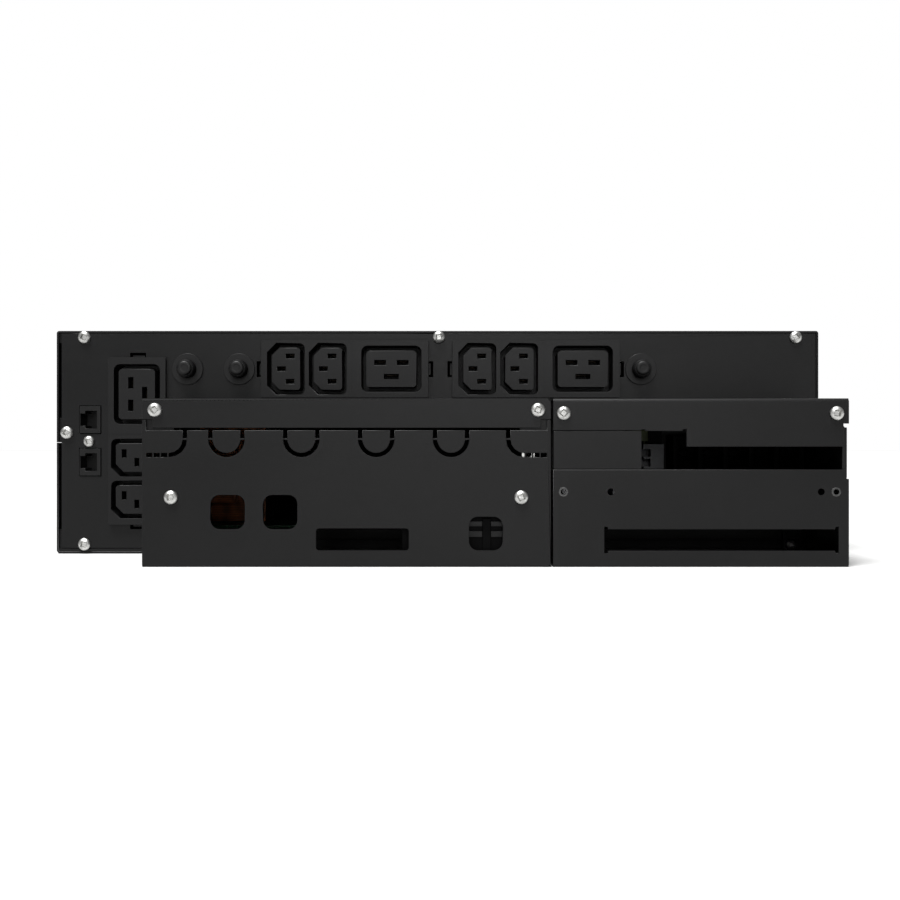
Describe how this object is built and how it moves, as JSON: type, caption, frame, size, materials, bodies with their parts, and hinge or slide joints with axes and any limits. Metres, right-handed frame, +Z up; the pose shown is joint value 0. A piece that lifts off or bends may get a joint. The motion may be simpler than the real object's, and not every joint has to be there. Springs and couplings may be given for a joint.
{
  "type": "rackmount ups",
  "caption": "Low black rack-mounted power backup unit with a rear panel of sockets, reset breakers and jacks behind two steel wiring boxes, and a front battery drawer and control fascia.",
  "frame": {"origin": "middle of the footprint on the underside", "axes": "+X to the right as seen from behind, +Y towards the front fascia, +Z up"},
  "size_m": [0.4826, 0.6905, 0.1286],
  "materials": {
    "black_steel": "satin powder coat with a fine grain",
    "outlet_plastic": "moulded nylon with a fine texture",
    "black_plastic": "moulded satin",
    "fascia_plastic": "fine spark-eroded texture",
    "key_plastic": "smooth satin",
    "zinc": "bright zinc plate",
    "grey_plastic": "moulded satin",
    "signal_plastic": "moulded satin",
    "board_laminate": "solder mask",
    "bare_aluminium": "mill finish",
    "wound_iron": "varnished winding on a laminated core",
    "battery_plastic": "moulded satin",
    "display_glass": "clear window over a dark panel"
  },
  "bodies": {
    "chassis": {"breaker_1_case": "black_plastic", "breaker_1_nut": "black_plastic", "breaker_2_case": "black_plastic", "breaker_2_nut": "black_plastic", "breaker_3_case": "black_plastic", "breaker_3_nut": "black_plastic", "bus_capacitor": "bare_aluminium", "chassis_tray": "black_steel", "clamp_block": "grey_plastic", "control_fascia": "fascia_plastic", "cover_screw_left": "zinc", "cover_screw_right": "zinc", "display_housing": "key_plastic", "display_window": "display_glass", "face_screw_left": "zinc", "face_screw_right": "zinc", "fan_1_frame": "black_plastic", "fan_2_frame": "black_plastic", "front_panel": "black_steel", "heat_sink": "bare_aluminium", "jack_screw": "zinc", "lid_screw_left": "zinc", "lid_screw_right": "zinc", "link_box": "black_steel", "link_box_cover": "black_steel", "link_bracket": "black_steel", "network_jack_lower": "black_plastic", "network_jack_upper": "black_plastic", "outlet_block_column": "outlet_plastic", "outlet_block_middle": "outlet_plastic", "outlet_block_right": "outlet_plastic", "panel_screw_left_bottom": "zinc", "panel_screw_left_middle": "zinc", "panel_screw_left_top": "zinc", "panel_screw_middle_top": "zinc", "panel_screw_right_top": "zinc", "power_board": "board_laminate", "rack_ear_left": "black_steel", "rack_ear_right": "black_steel", "rear_panel": "black_steel", "signal_plug": "signal_plastic", "terminal_strip": "grey_plastic", "top_cover": "black_steel", "transformer": "wound_iron", "wiring_box": "black_steel", "wiring_box_lid": "black_steel"},
    "battery_drawer": {"battery_tray": "black_steel", "drawer_fascia": "fascia_plastic", "battery_pack_1": "battery_plastic", "battery_pack_2": "battery_plastic", "battery_connector": "grey_plastic"},
    "breaker_button_1": {"breaker_1_button": "black_plastic"},
    "breaker_button_2": {"breaker_2_button": "black_plastic"},
    "breaker_button_3": {"breaker_3_button": "black_plastic"},
    "fan_rotor_1": {"fan_1_rotor": "black_plastic"},
    "fan_rotor_2": {"fan_2_rotor": "black_plastic"},
    "key_1": {"menu_key_1": "key_plastic"},
    "key_2": {"menu_key_2": "key_plastic"},
    "key_3": {"menu_key_3": "key_plastic"},
    "power_key": {"power_button": "key_plastic"}
  },
  "joints": [
    {"name": "battery_drawer_slide", "type": "slide", "parent": "chassis", "child": "battery_drawer", "axis": [0, 1, 0], "range_m": [0, 0.28]},
    {"name": "breaker_reset_1", "type": "slide", "parent": "chassis", "child": "breaker_button_1", "axis": [0, -1, 0], "range_m": [0, 0.003]},
    {"name": "breaker_reset_2", "type": "slide", "parent": "chassis", "child": "breaker_button_2", "axis": [0, -1, 0], "range_m": [0, 0.003]},
    {"name": "breaker_reset_3", "type": "slide", "parent": "chassis", "child": "breaker_button_3", "axis": [0, -1, 0], "range_m": [0, 0.003]},
    {"name": "fan_1_spin", "type": "hinge", "parent": "chassis", "child": "fan_rotor_1", "pos_m": [0.0845, 0.3011, 0.064], "axis": [0, 1, 0], "continuous": true},
    {"name": "fan_2_spin", "type": "hinge", "parent": "chassis", "child": "fan_rotor_2", "pos_m": [0.1715, 0.3011, 0.064], "axis": [0, 1, 0], "continuous": true},
    {"name": "menu_key_1_press", "type": "slide", "parent": "chassis", "child": "key_1", "axis": [0, -1, 0], "range_m": [0, 0.0015], "stiffness_N_per_m": 600, "springref_m": -0.0005},
    {"name": "menu_key_2_press", "type": "slide", "parent": "chassis", "child": "key_2", "axis": [0, -1, 0], "range_m": [0, 0.0015], "stiffness_N_per_m": 600, "springref_m": -0.0005},
    {"name": "menu_key_3_press", "type": "slide", "parent": "chassis", "child": "key_3", "axis": [0, -1, 0], "range_m": [0, 0.0015], "stiffness_N_per_m": 600, "springref_m": -0.0005},
    {"name": "power_button_press", "type": "slide", "parent": "chassis", "child": "power_key", "axis": [0, -1, 0], "range_m": [0, 0.002], "stiffness_N_per_m": 600, "springref_m": -0.0005}
  ]
}
